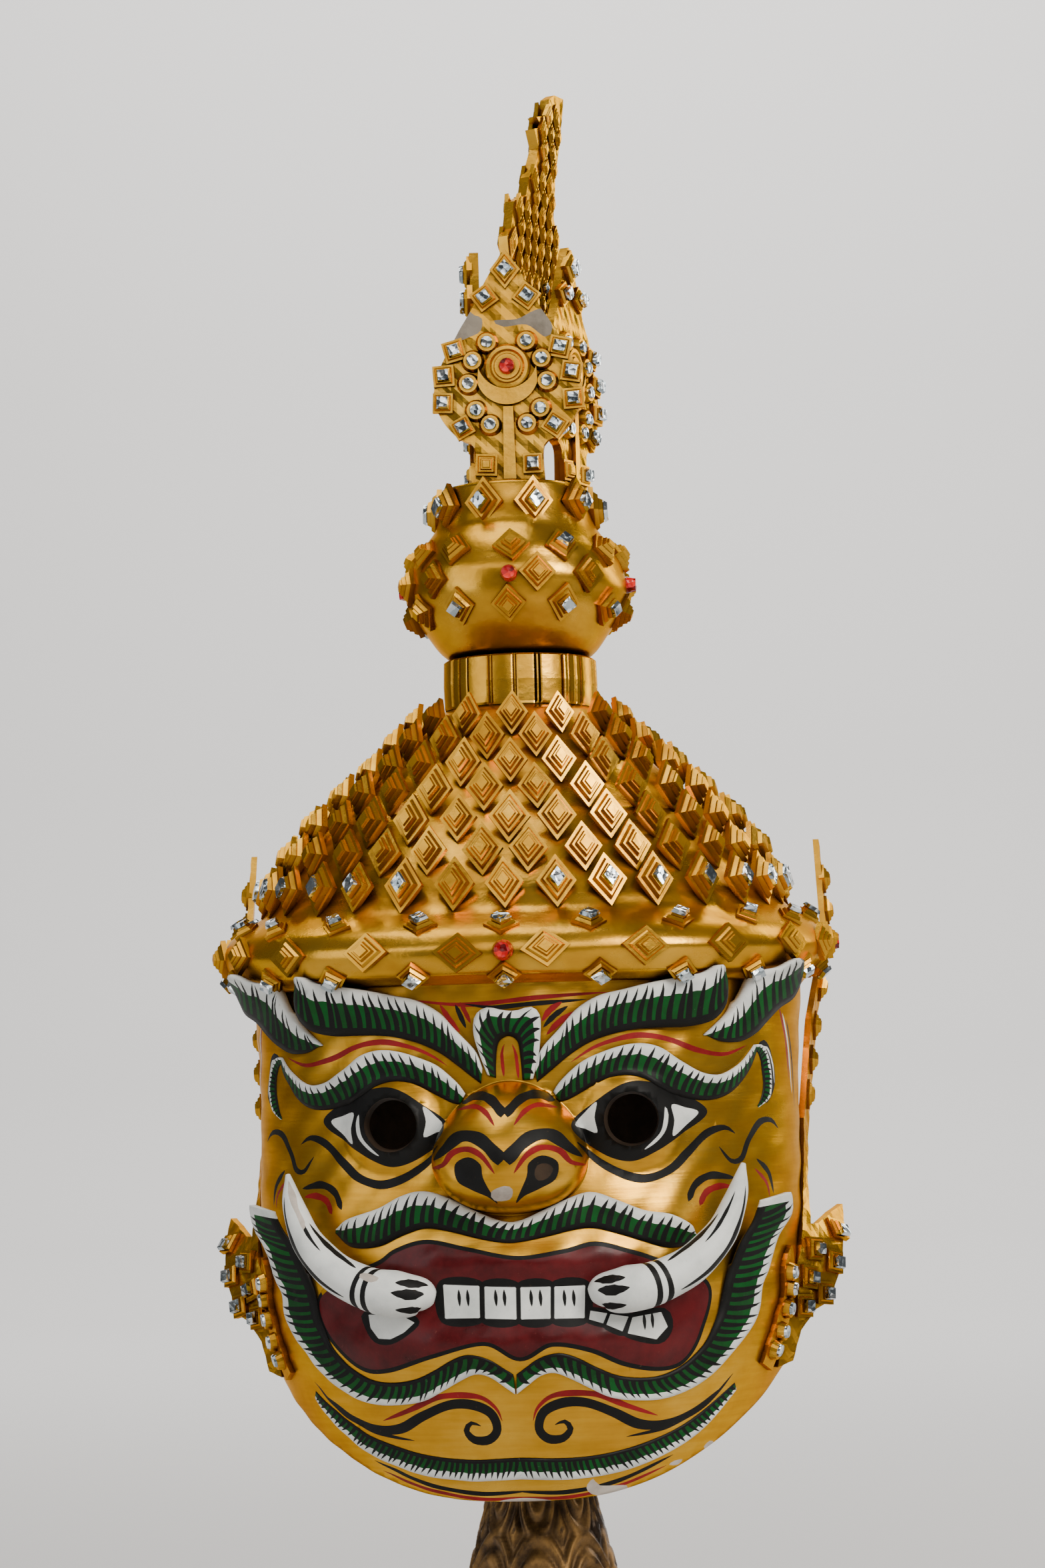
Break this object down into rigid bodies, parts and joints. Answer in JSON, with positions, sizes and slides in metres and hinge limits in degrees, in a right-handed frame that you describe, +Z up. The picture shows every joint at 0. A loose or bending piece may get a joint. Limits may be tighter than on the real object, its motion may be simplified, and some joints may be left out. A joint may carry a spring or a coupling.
{
  "type": "giant's head dance mask with gilt crown, on a stand",
  "caption": "Gilt papier-mache helmet mask of a fanged giant with a tiled domed crown, plaques and a flame spire, resting on a carved stand.",
  "frame": {"origin": "middle of the stand's flat underside", "axes": "+Z up along the stand's and crown's axis; the face looks along -Y; +X to the right of someone facing the mask"},
  "size_m": [0.2738, 0.2836, 0.7614],
  "materials": {
    "gilt_paper": "gilded and painted papier-mache",
    "gilt_leather": "gilded cut leather",
    "tusk_paint": "ivory-white paint",
    "red_glass": "polished red glass",
    "mirror_glass": "cut mirror glass",
    "bronze_stand": "dark carved wood, gold rubbed on the high places"
  },
  "bodies": {
    "root": {"mask_shell": "gilt_paper", "crown_collar": "gilt_paper", "crown_bulb": "gilt_paper", "plaque_front": "gilt_leather", "plaque_left": "gilt_leather", "plaque_right": "gilt_leather", "flame_blade": "gilt_leather", "ear_ornament_left": "gilt_leather", "ear_ornament_right": "gilt_leather", "tusk_left": "tusk_paint", "tusk_right": "tusk_paint", "red_stone_plaque": "red_glass", "red_stone_brim_1": "red_glass", "red_stone_brim_2": "red_glass", "red_stone_brim_3": "red_glass", "red_stone_brim_4": "red_glass", "red_stone_bulb_1": "red_glass", "red_stone_bulb_2": "red_glass", "red_stone_bulb_3": "red_glass", "red_stone_bulb_4": "red_glass", "round_mirror_1": "mirror_glass", "round_mirror_2": "mirror_glass", "round_mirror_3": "mirror_glass", "round_mirror_4": "mirror_glass", "round_mirror_5": "mirror_glass", "round_mirror_6": "mirror_glass", "round_mirror_7": "mirror_glass", "round_mirror_8": "mirror_glass", "round_mirror_9": "mirror_glass", "round_mirror_10": "mirror_glass", "lozenge_mirror_1": "mirror_glass", "lozenge_mirror_2": "mirror_glass", "lozenge_mirror_3": "mirror_glass", "lozenge_mirror_4": "mirror_glass", "lozenge_mirror_5": "mirror_glass", "lozenge_mirror_6": "mirror_glass", "lozenge_mirror_7": "mirror_glass", "lozenge_mirror_8": "mirror_glass", "lozenge_mirror_9": "mirror_glass", "lozenge_mirror_10": "mirror_glass", "lozenge_mirror_11": "mirror_glass", "lozenge_mirror_12": "mirror_glass", "stand": "bronze_stand"}
  },
  "joints": []
}
